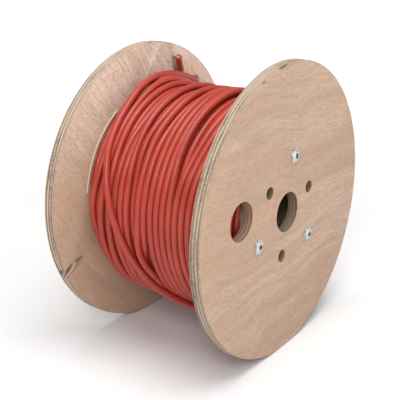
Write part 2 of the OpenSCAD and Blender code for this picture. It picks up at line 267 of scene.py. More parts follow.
def settle(y, r, lowest_r, under_y, under_r, rounds):
    """Discs at each station are pulled in, pushed apart and smoothed along the cable."""
    rows = -(-len(y) // STATIONS)
    blank = rows * STATIONS - len(y)
    wanted = y.copy()
    held = np.zeros(len(y), bool)
    held[climb] = True
    held[-HELD_END:] = True
    route = np.zeros(len(y), bool)
    route[len(y) - tail_stations:] = True
    wanted_r = r.copy()
    empty = np.arange(blank) * 0.05 + 5.0    # places far away that fill up the last row
    top_under = slice((INNER_LAYERS - 1) * TURNS, None)     # only the top layer that carries
    fixed_y = under_y.reshape(-1, STATIONS).T[:, top_under]
    fixed_r = under_r.reshape(-1, STATIONS).T[:, top_under]
    for k in range(rounds):
        r = np.maximum(r - (PULL_EARLY if k < rounds * LATE_FROM else PULL_LATE), lowest_r)
        grid_y = np.concatenate([y, empty]).reshape(rows, STATIONS).T.astype(np.float32)
        grid_r = np.concatenate([r, empty]).reshape(rows, STATIONS).T.astype(np.float32)
        all_y = np.concatenate([grid_y, fixed_y.astype(np.float32)], axis=1)
        all_r = np.concatenate([grid_r, fixed_r.astype(np.float32)], axis=1)
        dy = grid_y[:, :, None] - all_y[:, None, :]
        dr = grid_r[:, :, None] - all_r[:, None, :]
        gap = np.sqrt(dy * dy + dr * dr)
        push = np.clip(CABLE_D - gap, 0, None)
        push[:, np.arange(rows), np.arange(rows)] = 0
        push[:, :, rows:] *= 2            # a fixed turn below gives way to nobody
        push = push / np.maximum(gap, 0.2 * MM)
        move_y = (push * dy).sum(axis=2) * PUSH_SHARE
        move_r = (push * dr).sum(axis=2) * PUSH_SHARE
        y = y + move_y.T.reshape(-1)[:len(y)]
        r = r + move_r.T.reshape(-1)[:len(r)]
        y[1:-1] += SMOOTH_SHARE * ((y[:-2] + y[2:]) / 2 - y[1:-1])
        r[1:-1] += SMOOTH_SHARE * ((r[:-2] + r[2:]) / 2 - r[1:-1])
        y += RETURN_SHARE * (wanted - y)
        y[route] = wanted[route]
        y[held] = wanted[held]
        r[held] = wanted_r[held]
        y = np.where(route, y, np.clip(y, -SIDE, SIDE))
    return y, r


path_y, path_r = settle(path_y, path_r, floor_r, inner_path_y, inner_path_r, ROUNDS)
print("settled in", ROUNDS, "rounds; top of the winding at", round(float(path_r.max()), 4))

# %% [markdown]
# ## From a route to a cable
# A cable is a circle swept along its route. The route's own frame is carried along from
# ring to ring, so that the tube doesn't twist, and each face gets a UV: the length along
# the cable in metres, and the share of the way round. The printed ticks and the finish
# follow that UV.

# %% Sweep a round section along a route
def sweep(name, path, radius, sides, first_up, uv_start=0.0):
    """A closed tube of quads along the path, with its two ends filled by flat fans of triangles."""
    path = np.asarray(path, float)
    count = len(path)
    heading = np.gradient(path, axis=0)
    heading /= np.linalg.norm(heading, axis=1)[:, None]
    up = np.asarray(first_up, float)
    rings = np.zeros((count, sides, 3))
    turn = 2 * math.pi * np.arange(sides) / sides
    for i in range(count):
        up = up - heading[i] * (up @ heading[i])
        up /= np.linalg.norm(up)
        across = np.cross(heading[i], up)
        rings[i] = path[i] + radius * (np.cos(turn)[:, None] * up + np.sin(turn)[:, None] * across)
    verts = np.concatenate([rings.reshape(-1, 3), path[:1], path[-1:]])
    i = np.arange(count - 1)[:, None] * sides
    k = np.arange(sides)[None, :]
    k_next = (k + 1) % sides
    quads = np.stack([i + k, i + k_next, i + sides + k_next, i + sides + k], axis=-1).reshape(-1, 4)
    faces = quads.tolist()
    last = (count - 1) * sides
    faces += [[count * sides, (j + 1) % sides, j] for j in range(sides)]
    faces += [[count * sides + 1, last + j, last + (j + 1) % sides] for j in range(sides)]
    mesh = bpy.data.meshes.new(name)
    mesh.from_pydata(verts.tolist(), [], faces)
    length = uv_start + np.concatenate([[0], np.cumsum(np.linalg.norm(np.diff(path, axis=0), axis=1))])
    uv = np.zeros((len(mesh.loops), 2))
    a, b = length[:-1, None] + 0 * k, length[1:, None] + 0 * k
    v, w = (k / sides) + 0 * a, ((k + 1) / sides) + 0 * a
    quad_uv = np.stack([np.stack([a, v], -1), np.stack([a, w], -1),
                        np.stack([b, w], -1), np.stack([b, v], -1)], axis=2)
    uv[:len(quads) * 4] = quad_uv.reshape(-1, 2)
    uv[len(quads) * 4:len(quads) * 4 + sides * 3, 0] = length[0]
    uv[len(quads) * 4 + sides * 3:, 0] = length[-1]
    layer = mesh.uv_layers.new(name="along")
    layer.data.foreach_set("uv", uv.reshape(-1))
    mesh.polygons.foreach_set("use_smooth", [True] * len(quads) + [False] * (2 * sides))
    mesh.update()
    obj = bpy.data.objects.new(name, mesh)
    bpy.context.scene.collection.objects.link(obj)
    return obj, float(length[-1] - uv_start)


def wound_points(y, r, degrees):
    """Points at those places along the axle, radii and angles."""
    a = np.radians(degrees)
    return np.stack([r * np.cos(a), y, r * np.sin(a)], axis=1)


def rounded_route(points, spacing):
    """Points on a smooth curve through the given ones, evenly spaced."""
    points = np.asarray(points, float)
    fine = []
    padded = np.concatenate([[2 * points[0] - points[1]], points, [2 * points[-1] - points[-2]]])
    for a, b, c, d in zip(padded, padded[1:], padded[2:], padded[3:]):
        for t in np.linspace(0, 1, 12, endpoint=False):
            fine.append(0.5 * ((2 * b) + (c - a) * t + (2 * a - 5 * b + 4 * c - d) * t * t
                               + (3 * b - a - 3 * c + d) * t ** 3))
    fine.append(points[-1])
    fine = np.array(fine)
    along = np.concatenate([[0], np.cumsum(np.linalg.norm(np.diff(fine, axis=0), axis=1))])
    wanted = np.linspace(0, along[-1], max(2, int(along[-1] / spacing)))
    return np.stack([np.interp(wanted, along, fine[:, c]) for c in range(3)], axis=1)


# %% The inner cable: the five layers on the barrel
inner_deg = WINDING_END - step_deg * (np.arange(len(inner_path_y)) - len(inner_path_y))
inner_points = wound_points(inner_path_y, inner_path_r, inner_deg)[::2]
cable_inner, inner_length = sweep("cable_inner", inner_points, CABLE_D / 2, 8, inner_points[0] * (1, 0, 1))
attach(cable_inner, "root")
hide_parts("cable_inner_layers")
print(f"inner cable {inner_length:.2f} m, {len(cable_inner.data.polygons)} faces")

# %% The outer cable: three layers, the crossing strand and the laced end
wound = wound_points(path_y, path_r, np.concatenate([path_deg, tail_deg]))
laced = np.array([Vector(p) * MM for p in LACED])
stub_start = STUB_TIP - STUB_L * STUB_DIR
SHEATH_BACK = 1.2 * MM                    # the cores stand out of the sheath by this much
sheath_tip = STUB_TIP - SHEATH_BACK * STUB_DIR
free_run = rounded_route(np.concatenate([wound[-3:], laced, [stub_start, (stub_start + sheath_tip) / 2,
                                         sheath_tip]]), 2.6 * MM)
outer_points = np.concatenate([wound[:-3], free_run])
cable_outer, outer_length = sweep("cable_outer", outer_points, CABLE_D / 2, 14,
                                  outer_points[0] * (1, 0, 1), uv_start=inner_length)
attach(cable_outer, "root")
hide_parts("cable_outer_layers", "cable_tail", "cable_end_sheath")
print(f"outer cable {outer_length:.2f} m, {len(cable_outer.data.polygons)} faces")

# %% [markdown]
# ## The finishes
# Every finish is worked out from the place on the object or from the cable's UV, with no
# pictures. Two small classes keep the shader maths readable: `Value` wraps one socket, so
# that `1 - mask * 0.3` adds its own Math nodes, and `Finish` makes a material and any
# other node.

# %% Shader maths as expressions
class Value:
    """One output socket, with + - * / and comparisons that add Math nodes."""

    def __init__(self, finish, socket):
        self.finish = finish
        self.socket = socket

    def maths(self, operation, *values):
        return self.finish.node("Math", {"operation": operation}, dict(enumerate(values)))

    def __add__(self, other):
        return self.maths("ADD", self, other)

    def __sub__(self, other):
        return self.maths("SUBTRACT", self, other)

    def __rsub__(self, other):
        return self.maths("SUBTRACT", other, self)

    def __mul__(self, other):
        return self.maths("MULTIPLY", self, other)

    def __truediv__(self, other):
        return self.maths("DIVIDE", self, other)

    def __gt__(self, other):
        return self.maths("GREATER_THAN", self, other)

    def __lt__(self, other):
        return self.maths("LESS_THAN", self, other)

    __radd__ = __add__
    __rmul__ = __mul__

    def absolute(self):
        return self.maths("ABSOLUTE", self)

    def root(self):
        return self.maths("SQRT", self)

    def fraction(self):
        return self.maths("FRACT", self)

    def between(self, low, high):
        """0 at low, 1 at high, smooth in between."""
        return self.finish.node("MapRange", {"interpolation_type": "SMOOTHSTEP"},
                                {"Value": self, "From Min": low, "From Max": high})


class Finish:
    """A procedural material. node() makes any node, settings first and then its inputs."""

    def __init__(self, name, **constants):
        self.material = bpy.data.materials.new(name)
        self.material.use_nodes = True
        self.tree = self.material.node_tree
        self.tree.nodes.clear()
        self.shader = self.tree.nodes.new("ShaderNodeBsdfPrincipled")
        end = self.tree.nodes.new("ShaderNodeOutputMaterial")
        self.tree.links.new(self.shader.outputs["BSDF"], end.inputs["Surface"])
        for socket, value in constants.items():
            self.shader.inputs[socket.replace("_", " ")].default_value = value

    def feed(self, socket, value):
        if isinstance(value, Value):
            self.tree.links.new(value.socket, socket)
        elif socket.type == "RGBA" and len(value) == 3:
            socket.default_value = (*value, 1)
        else:
            socket.default_value = value

    def node(self, kind, settings=None, inputs=None, output=0):
        made = self.tree.nodes.new("ShaderNode" + kind)
        for name, value in (settings or {}).items():
            if name == "stops":
                ramp = made.color_ramp
                while len(ramp.elements) < len(value):
                    ramp.elements.new(0.5)
                for element, (place, colour) in zip(ramp.elements, value):
                    element.position = place
                    element.color = (*colour, 1)
            else:
                setattr(made, name, value)
        for name, value in (inputs or {}).items():
            self.feed(made.inputs[name], value)
        return Value(self, made.outputs[output])

    def place(self):
        """The object's own coordinates, in metres."""
        return self.node("TexCoord", output="Object")

    def parts(self, vector):
        split = self.tree.nodes.new("ShaderNodeSeparateXYZ")
        self.feed(split.inputs[0], vector)
        return [Value(self, s) for s in split.outputs]

    def join(self, x, y, z=0.0):
        return self.node("CombineXYZ", None, {0: x, 1: y, 2: z})

    def noise(self, vector, scale, detail=2.0, roughness=0.5, warp=0.0):
        return self.node("TexNoise", {"noise_dimensions": "3D"},
                         {"Vector": vector, "Scale": scale, "Detail": detail,
                          "Roughness": roughness, "Distortion": warp})

    def mix(self, share, first, second):
        return self.node("Mix", {"data_type": "RGBA", "blend_type": "MIX"},
                         {0: share, 6: first, 7: second}, output=2)

    def ramp(self, value, stops):
        return self.node("ValToRGB", {"stops": stops}, {0: value})

    def bump(self, height, strength, depth):
        return self.node("Bump", None, {"Height": height, "Strength": strength, "Distance": depth})

    def finish(self, **links):
        for socket, value in links.items():
            self.feed(self.shader.inputs[socket.replace("_", " ")], value)
        return self.material


def dress(obj, material):
    obj.data.materials.clear()
    obj.data.materials.append(material)


# %% [markdown]
# ### Red PVC
# The sheath is extruded PVC: one red, a soft gloss, and fine lines along it from the die.
# Rubbing on the drum leaves paler, duller patches. A row of small generic ticks stands
# for the metre marks and follows the cable's slow twist.

# %% Red PVC sheath
def red_pvc(name):
    pvc = Finish(name, IOR=1.46)
    along, around_it, _ = pvc.parts(pvc.node("TexCoord", output="UV"))
    place = pvc.place()
    cloud = pvc.noise(place, 16, 3)
    rub = pvc.noise(pvc.join(along * 30, around_it * 6), 1.0, 4, 0.6)
    red = pvc.mix(cloud.between(0.3, 0.7), (0.340, 0.032, 0.019), (0.410, 0.045, 0.027))
    red = pvc.mix(rub.between(0.5, 0.8) * 0.35, red, (0.47, 0.085, 0.062))
    twist = along * 1.9 + pvc.noise(pvc.join(along, 0.0), 1.3, 0) * 1.5
    row = (around_it + twist).fraction()
    in_row = (row > 0.40) * (row < 0.475)
    tick = (along * 240).fraction()
    group = (along * 4.1).fraction()
    worn = pvc.noise(pvc.join(along * 600, around_it * 40), 1.0, 2)
    printed = in_row * (tick < 0.55) * (group < 0.42) * worn.between(0.36, 0.5)
    colour = pvc.mix(printed * 0.75, red, (0.035, 0.02, 0.02))
    lines = pvc.noise(pvc.join(along * 8, around_it * 90), 1.0, 1)
    grit = pvc.noise(place, 900, 2)
    normal = pvc.bump(lines * 0.5 + grit * 0.5 + rub * 0.6, 0.25, 0.0002)
    rough = 0.29 + cloud * 0.10 + rub.between(0.5, 0.8) * 0.16
    return pvc.finish(Base_Color=colour, Roughness=rough, Normal=normal)


sheath = red_pvc("red_pvc")
dress(cable_inner, sheath)
dress(cable_outer, sheath)
print("sheath nodes:", len(sheath.node_tree.nodes))

# %% [markdown]
# ### Plywood
# A flange is seven plies of rotary-cut veneer. A place's depth in the board tells which
# ply it is in, so one finish serves the faces, the rim and every hole. On a face the
# grain runs one way, with fine dark pores and a broad figure. At an edge a ply looks pale
# where it is cut along its grain and dark and porous where it is cut across, and that
# swaps twice on the way round the rim.

# %% Plywood finish
PLY_EDGES = [1.2, 3.1, 5.0, 6.9, 8.8, 10.7]     # glue lines, in mm from the inner face


def plywood(name, grain_deg, face, pale, dark, drive_angle, painted_top_share, painted_top_tone):
    ply = Finish(name, IOR=1.45, Specular_IOR_Level=0.25)

    def tint(r, g, b):
        return face[0] * r, face[1] * g, face[2] * b

    place = ply.place()
    x, y, z = ply.parts(place)
    depth = (y.absolute() - INNER_Y) * 1000                 # in mm from the inner face
    thick = FLANGE_T * 1000
    c, s = math.cos(math.radians(grain_deg)), math.sin(math.radians(grain_deg))
    sway = ply.noise(place, 7.0, 2, 0.5)
    sway_fine = ply.noise(place, 26.0, 2, 0.5)
    run = x * c + z * s
    cross = z * c - x * s + (sway - 0.5) * 0.055 + (sway_fine - 0.5) * 0.008
    # the face veneer
    figure = ply.noise(ply.join(run * 5, cross * 34, y * 40), 1.0, 4, 0.6, 0.6)
    streak = ply.noise(ply.join(run * 22, cross * 300, y * 200), 1.0, 4, 0.65)
    fine = ply.noise(ply.join(run * 90, cross * 1100, y * 900), 1.0, 3, 0.6)
    blush = ply.noise(ply.join(run * 9, cross * 20, y * 9), 1.0, 3, 0.5)
    pore = ply.noise(ply.join(run * 160, cross * 2300, y * 1500), 1.0, 1)
    pores = (1 - pore.between(0.30, 0.40)) * streak.between(0.35, 0.6)
    band = ply.noise(ply.join(run * 1.6, cross * 11, y * 9), 1.0, 2, 0.5, 0.4)
    fleck = ply.noise(ply.join(run * 260, cross * 620, y * 500), 1.0, 2, 0.6)
    tone = ply.ramp(figure, [(0.25, tint(0.84, 0.79, 0.73)), (0.5, face),
                             (0.78, tint(1.12, 1.12, 1.12))])
    long_band = ply.noise(ply.join(run * 2.2, cross * 55, y * 30), 1.0, 3, 0.55, 0.3)
    tone = ply.mix(long_band.between(0.46, 0.64) * 0.75, tone, tint(0.83, 0.77, 0.71))
    tone = ply.mix((1 - long_band.between(0.34, 0.47)) * 0.55, tone, tint(1.15, 1.18, 1.20))
    tone = ply.mix(band.between(0.40, 0.66) * 0.65, tone, tint(0.84, 0.76, 0.68))
    # painted light and shade: the top of each face is painted darker on the near flange and lighter on the
    # far one
    tone = ply.mix(z.between(0.0, 0.15) * painted_top_share * (0.5 + band), tone, painted_top_tone)
    tone = ply.mix(fleck.between(0.50, 0.66) * 0.60, tone, tint(0.74, 0.60, 0.50))
    tone = ply.mix(streak.between(0.35, 0.75) * 0.65, tone, tint(0.76, 0.76, 0.76))
    tone = ply.mix(fine.between(0.45, 0.8) * 0.45, tone, tint(0.70, 0.62, 0.55))
    tone = ply.mix(blush.between(0.55, 0.8) * 0.30, tone, tint(1.06, 0.86, 0.76))
    tone = ply.mix(pores * 0.55, tone, tint(0.40, 0.32, 0.26))
    # the cut edge
    wobble = ply.noise(place, 45, 2) - 0.5
    drift = ply.noise(place, 9, 1) - 0.5
    at = depth + wobble * 0.45 + drift * 1.1
    round_it = (x * x - z * z) / (x * x + z * z + 0.00001)
    along_pale = 0.5 + round_it * 0.22
    odd = 0.0
    lines = 0.0
    for k, edge in enumerate(PLY_EDGES):
        step = at > edge
        odd = odd + step * (1 if k % 2 == 0 else -1)
        lines = lines + (1 - (at - edge).absolute().between(0.05, 0.22))
    across = odd * along_pale * 1.25 + (1 - odd) * (1 - along_pale) * 0.55
    edge_grain = ply.noise(ply.join(x * 420, y * 900, z * 420), 1.0, 3, 0.7)
    per_ply = ply.noise(ply.join(x * 3, at * 0.8, z * 3), 1.0, 1)
    cut = ply.mix(across.between(0.15, 0.75), pale, dark)
    cut = ply.mix(per_ply.between(0.35, 0.7) * 0.35, cut, [v * 0.72 for v in pale])
    cut = ply.mix(edge_grain.between(0.5, 0.8) * across * 0.8, cut, [v * 0.42 for v in dark])
    cut = ply.mix(lines * 0.45, cut, [v * 0.62 for v in dark])
    rot = ply.noise(ply.join(x * 16, y * 190, z * 16), 1.0, 2, 0.5).between(0.50, 0.62)
    knots = ply.noise(ply.join(x * 420, y * 620, z * 420), 1.0, 3, 0.7).between(0.50, 0.60)
    cut = ply.mix(rot * knots * 0.85, cut, [v * 0.30 for v in dark])
    cut = ply.mix(rot * 0.30, cut, [v * 0.8 for v in dark])
    # painted shade: the walls of the bore and the pin holes are painted darker
    painted_hole_shade = 1 - (x * x + z * z).root().between(62 * MM, 68 * MM)
    cut = ply.mix(painted_hole_shade * 0.66, cut, (0.125, 0.088, 0.056))
    # painted reflection: the drive hole's wall is painted redder, as light from the red cable behind it
    # would tint it
    drive = around(DRIVE_R, drive_angle, 0)
    aside, above = x - drive.x, z - drive.z
    from_wall = (aside * aside + above * above).root() - DRIVE_HOLE_R
    cut = ply.mix((1 - from_wall.between(0.5 * MM, 2 * MM)) * 0.55, cut, (0.235, 0.110, 0.075))
    on_face = 1 - (depth.between(0.02, 0.12) * (1 - depth.between(thick - 0.12, thick - 0.02)))
    # where a face veneer is torn off, the surface still looks outwards but lies deeper, and painted shade
    # darkens it there
    outward = ply.parts(ply.node("NewGeometry", output="True Normal"))[1].absolute().between(0.25, 0.5)
    skin = (1 - depth.between(1.0, 1.3)) + depth.between(thick - 1.3, thick - 1.0)
    cut = ply.mix(outward * skin * 0.7, cut, (0.13, 0.095, 0.070))
    soil = ply.noise(place, 11, 4, 0.6).between(0.55, 0.85) * 0.12
    colour = ply.mix(on_face, cut, tone)
    colour = ply.mix(soil, colour, tint(0.6, 0.6, 0.6))
    height = on_face * (fine * 0.5 + streak * 0.6 - pores * 1.2) + (1 - on_face) * (edge_grain * 2.2 - lines)
    normal = ply.bump(height, 0.55, 0.0003)
    rough = 0.66 + fine * 0.15 + (1 - on_face) * 0.08
    return ply.finish(Base_Color=colour, Roughness=rough, Normal=normal)


near_wood = plywood("plywood_near", 0, (0.565, 0.408, 0.310), (0.53, 0.425, 0.320), (0.26, 0.190, 0.135),
                    DRIVE_ANGLE, 0.40, (0.43, 0.285, 0.195))
far_wood = plywood("plywood_far", 118, (0.625, 0.450, 0.340), (0.58, 0.49, 0.385), (0.30, 0.185, 0.125),
                   FAR_DRIVE_ANGLE, 0.65, (0.80, 0.67, 0.57))
print("plywood nodes:", len(near_wood.node_tree.nodes))

# %% [markdown]
# ## The flanges
# Each flange starts as a round primitive at the design's size. Its holes are cut with
# boolean modifiers, as a router would, and then the real damage of a cheap board is cut
# in: torn corners on the rim and gaps where an inner ply was too short.

# %% Helpers for modelling with operators
def only(obj):
    """Deselects everything and makes this object the selected, active one."""
    bpy.ops.object.select_all(action="DESELECT")
    obj.select_set(True)
    bpy.context.view_layer.objects.active = obj
    return obj


def settle_transform(obj):
    """Moves the object's place, turn and size into its mesh."""
    only(obj)
    bpy.ops.object.transform_apply(location=True, rotation=True, scale=True)
    return obj


def apply(obj, kind, **settings):
    only(obj)
    modifier = obj.modifiers.new(kind.lower(), kind)
    for name, value in settings.items():
        setattr(modifier, name, value)
    bpy.ops.object.modifier_apply(modifier=modifier.name)
    return obj


def cylinder(name, radius, start, direction, length, sides):
    """A cylinder from a point along a direction."""
    direction = Vector(direction).normalized()
    middle = Vector(start) + direction * length / 2
    turn = direction.to_track_quat("Z", "Y").to_euler()
    bpy.ops.mesh.primitive_cylinder_add(vertices=sides, radius=radius, depth=length,
                                        location=middle, rotation=turn)
    made = bpy.context.object
    made.name = name
    return settle_transform(made)


def cut_away(obj, cutter):
    """Cuts one object's shape out of another and throws the cutter away."""
    apply(obj, "BOOLEAN", operation="DIFFERENCE", object=cutter, solver="EXACT")
    bpy.data.objects.remove(cutter)
    return obj


def bevel_edges(obj, chosen, width, segments):
    """Bevels the edges for which chosen(first corner, second corner) is true."""
    only(obj)
    bpy.ops.object.mode_set(mode="EDIT")
    bpy.ops.mesh.select_mode(type="EDGE")
    bpy.ops.mesh.select_all(action="DESELECT")
    bpy.ops.object.mode_set(mode="OBJECT")
    corners = obj.data.vertices
    for edge in obj.data.edges:
        edge.select = chosen(corners[edge.vertices[0]].co, corners[edge.vertices[1]].co)
    bpy.ops.object.mode_set(mode="EDIT")
    bpy.ops.mesh.bevel(offset=width, segments=segments, affect="EDGES")
    bpy.ops.object.mode_set(mode="OBJECT")
    return obj


Y = Vector((0, 1, 0))
HOLES = [(BORE_R, 0, 0, 96)] + [(PIN_HOLE_R, PIN_R, a, 48) for a in PIN_ANGLES]
GROOVE_PLAY = 0.2 * MM                    # round the barrel, which sits in a groove in each board


# %% Cut a flange from a round board
def flange(name, inner, outer, bolt_hole_r, drive_angle):
    """A flange between two places along the axle, with the holes that both flanges have."""
    side = 1 if outer > inner else -1
    low = min(inner, outer)
    board = cylinder(name, RIM_R, (0, low, 0), Y, FLANGE_T, 256)
    bevel_edges(board, lambda a, b: abs(a.y - b.y) < 1e-6 and math.hypot(a.x, a.z) > RIM_R - 1e-4,
                0.5 * MM, 2)
    bolt_holes = [(bolt_hole_r, BOLT_R, a, 32) for a in BOLT_ANGLES]
    for r, at_r, angle, sides in HOLES + [(DRIVE_HOLE_R, DRIVE_R, drive_angle, 96)] + bolt_holes:
        start = around(at_r, angle, low - MM)
        cut_away(board, cylinder("cutter", r, start, Y, FLANGE_T + 2 * MM, sides))
    ring = cylinder("ring", BARREL_R + GROOVE_PLAY, (0, inner - side * MM, 0), side * Y, 5.2 * MM, 160)
    core = cylinder("core", BARREL_R - BARREL_WALL - GROOVE_PLAY, (0, inner - side * 2 * MM, 0),
                    side * Y, 8 * MM, 160)
    cut_away(ring, core)
    cut_away(board, ring)
    return board


near_flange = flange("near_flange_board", -INNER_Y, -OUTER_Y, 3.3 * MM, DRIVE_ANGLE)
far_flange = flange("far_flange_board", INNER_Y, OUTER_Y, 3.9 * MM, FAR_DRIVE_ANGLE)
print("near flange faces:", len(near_flange.data.polygons))

# %% [markdown]
# The far flange also has the slanting holes that the cable's end is laced through, and
# two shallow ramps that a drill left when it ran along the face: one at the stub and one
# at the rim, where a cable can be led over the edge.

# %% Drill the slanting holes and the ramps
HOLE_R = 6 * MM
RAMP_SLOPE = 18
TAIL_HOLE = ((95, 104.6), (0.8, -0.6), 42)
STUB_HOLE = ((60.6, 117.2), (0.43, -0.903), 42)
STUB_LEAN = Vector((-0.43, 0, 0.903)).normalized()
STUB_RAMP = 28 * MM                       # from the hole to the ramp's shallow tip
RIM_RAMP_DEG, RIM_RAMP_TIP, RIM_RAMP_L = -155.5, 134.5, 45      # the tip's radius and the length in mm


def slanting(place, lean, angle):
    """Cutter for a hole that leans away from the axle's direction as it goes outwards."""
    lean = Vector((lean[0], 0, lean[1])).normalized()
    a = math.radians(angle)
    direction = lean * math.sin(a) + Y * math.cos(a)
    middle = Vector((place[0] * MM, INNER_Y, place[1] * MM))
    return cylinder("drill", HOLE_R, middle - direction * 2 * HOLE_R, direction, 45 * MM, 64)


def ramp_cut(tip, direction, length):
    """Cutter for a groove that deepens from its tip along the face."""
    a = math.radians(RAMP_SLOPE)
    reach = HOLE_R / math.sin(a)
    slope = direction * math.cos(a) + Y * math.sin(a)
    middle = tip + direction * reach
    return cylinder("drill", HOLE_R, middle - slope * reach, slope, length / math.cos(a), 64)


for hole in (TAIL_HOLE, STUB_HOLE):
    cut_away(far_flange, slanting(*hole))
stub_hole_at = Vector((STUB_HOLE[0][0] * MM, INNER_Y, STUB_HOLE[0][1] * MM))
cut_away(far_flange, ramp_cut(stub_hole_at + STUB_LEAN * STUB_RAMP, -STUB_LEAN, STUB_RAMP))
rim_way = around(1, RIM_RAMP_DEG, 0)
cut_away(far_flange, ramp_cut(rim_way * RIM_RAMP_TIP * MM + Y * INNER_Y, rim_way, RIM_RAMP_L * MM))
print("far flange faces:", len(far_flange.data.polygons))

# %% [markdown]
# Torn corners are cut with small rough lumps, set half into the rim's edge. Each lump is a
# low sphere, stretched along the rim and given a seeded roughness, so no two tears match.

# %% Tear the rims
chips = np.random.default_rng(7)
TEAR_W, TEAR_DEEP = 0.55 * MM, 1.3 * MM


def lump(at, along, size, roughness):
    """A rough, stretched sphere that a tear is cut with."""
    bpy.ops.mesh.primitive_ico_sphere_add(subdivisions=3, radius=1.0, location=(0, 0, 0))
    rough = bpy.context.object
    for corner in rough.data.vertices:
        corner.co *= 1 + roughness * chips.normal()
    out = Vector((at.x, 0, at.z)).normalized()
    turn = Matrix((along, -Y, out)).transposed().to_4x4()
    rough.matrix_world = Matrix.Translation(at) @ turn @ Matrix.Diagonal((*size, 1))
    return settle_transform(rough)


def tear(board, radius, angle, y, length, width, deep):
    """Cuts one torn corner, long along the rim, into a board."""
    at = around(radius, angle, y)
    along = around(1, angle + 90, 0)
    cut_away(board, lump(at, along, (length, width, deep), 0.13))


tear(near_flange, 163.6 * MM, 96, -OUTER_Y, 9 * MM, 0.9 * MM, 2.2 * MM)
tear(near_flange, 162.4 * MM, 109.5, -OUTER_Y, 2.5 * MM, 0.5 * MM, 1.2 * MM)
for angle, y, length in [(166.4, -97.9, 3.5), (148, -95.6, 9), (136.5, -95.4, 7), (171, -93, 4),
                         (125, -98.2, 3), (-160, -94.2, 5), (40, -95, 5), (-60, -93.6, 6)]:
    tear(near_flange, RIM_R, angle, y * MM, length * MM, TEAR_W, TEAR_DEEP)
for board, face in ((near_flange, -OUTER_Y), (far_flange, INNER_Y), (far_flange, OUTER_Y),
                    (near_flange, -INNER_Y)):
    for angle in chips.uniform(0, 360, 9):
        length = chips.uniform(1.0, 4.0) * MM
        tear(board, RIM_R - chips.uniform(0, 0.4) * MM, angle, face, length, 0.7 * MM, 0.8 * MM)
for angle, y, length in [(150, 94.4, 6), (200, 98, 5), (117, 91.6, 4), (-30, 95, 7)]:
    tear(far_flange, RIM_R, angle, y * MM, length * MM, TEAR_W, TEAR_DEEP)

for board, wood, node in ((near_flange, near_wood, "near_flange"), (far_flange, far_wood, "far_flange")):
    only(board)
    bpy.ops.object.shade_smooth_by_angle(angle=math.radians(32))
    dress(board, wood)
    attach(board, "root")
    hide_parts(node)
    print(board.name, "faces:", len(board.data.polygons))

# %% [markdown]
# ## The tie bolts
# Three low pan head bolts hold the drum together. A bolt is turned on a lathe, so it is made
# the same way here: one circle is extruded and scaled from ring to ring along the bolt's
# profile, from the tip over the thread's ridges and the shank to the crown of the head.
# The cross recess is then cut with two tapered blades. One bolt is modelled, and the
# others are copies, each with its own mesh.

# %% Turn a profile, as on a lathe
def turned(name, profile, sides):
    """Extrudes and scales one circle along (radius, height) pairs, and closes both ends."""
    first_r, first_z = profile[0]
    bpy.ops.object.select_all(action="DESELECT")
    bpy.ops.mesh.primitive_circle_add(vertices=sides, radius=first_r, location=(0, 0, first_z),
                                      fill_type="NGON")
    made = settle_transform(bpy.context.object)
    made.name = name
    bpy.ops.object.mode_set(mode="EDIT")
    bpy.ops.mesh.select_all(action="SELECT")
    for (r_before, z_before), (r, z) in zip(profile, profile[1:]):
        bpy.ops.mesh.extrude_region_move(TRANSFORM_OT_translate={"value": (0, 0, z - z_before)})
        scale = r / r_before
        bpy.ops.transform.resize(value=(scale, scale, 1), center_override=(0, 0, z))
    bpy.ops.mesh.select_all(action="SELECT")
    bpy.ops.mesh.normals_make_consistent(inside=False)
    bpy.ops.object.mode_set(mode="OBJECT")
    return made


BOLT_D, HEAD_D, HEAD_H, WASHER_T = 6 * MM, 13 * MM, 2.6 * MM, 1 * MM
BOLT_L = 2 * OUTER_Y + WASHER_T + 1.4 * MM
THREAD_L, THREAD_PITCH = 26 * MM, 1 * MM
CROWN_R = HEAD_D                          # radius of the head's domed top
RECESS_L, RECESS_W, RECESS_DEEP = 8.4 * MM, 2.9 * MM, 2.3 * MM
BLADE_H, PILOT_R = 3 * MM, 2.2 * MM

profile = [(BOLT_D * 0.34, -BOLT_L), (BOLT_D * 0.42, -BOLT_L + 0.5 * MM)]
for k in range(int(THREAD_L / THREAD_PITCH)):
    ridge = -BOLT_L + 0.6 * MM + k * THREAD_PITCH
    profile += [(BOLT_D * 0.42, ridge), (BOLT_D * 0.5, ridge + 0.4 * MM), (BOLT_D * 0.5, ridge + 0.6 * MM)]
profile += [(BOLT_D * 0.46, -BOLT_L + THREAD_L + 1.5 * MM), (BOLT_D * 0.46, 0), (HEAD_D * 0.48, 0)]
for r in (0.5, 0.495, 0.46, 0.41, 0.34, 0.25, 0.13, 0.02):
    crown = HEAD_H - CROWN_R + math.sqrt(CROWN_R ** 2 - (r * HEAD_D) ** 2)
    profile.append((r * HEAD_D, crown if r < 0.5 else 0.7 * MM))
bolt = turned("tie_bolt_model", profile, 32)
print("bolt faces before the recess:", len(bolt.data.polygons))


# %% Cut the cross recess
def recess_blade(turn_deg):
    """A tapered blade, long at the top and short at the bottom of the recess."""
    bpy.ops.mesh.primitive_cube_add(size=1, location=(0, 0, 0))
    blade = bpy.context.object
    blade.scale = (RECESS_L, RECESS_W, BLADE_H)
    blade.location = (0, 0, HEAD_H - RECESS_DEEP + BLADE_H / 2)
    blade.rotation_euler = (0, 0, math.radians(turn_deg))
    settle_transform(blade)
    low = min(corner.co.z for corner in blade.data.vertices)
    bpy.ops.object.mode_set(mode="EDIT")
    bpy.ops.mesh.select_mode(type="VERT")
    bpy.ops.mesh.select_all(action="DESELECT")
    bpy.ops.object.mode_set(mode="OBJECT")
    for corner in blade.data.vertices:
        corner.select = corner.co.z < low + 1e-5
    bpy.ops.object.mode_set(mode="EDIT")
    bpy.ops.transform.resize(value=(0.45, 0.45, 1), center_override=(0, 0, low))
    bpy.ops.object.mode_set(mode="OBJECT")
    return blade


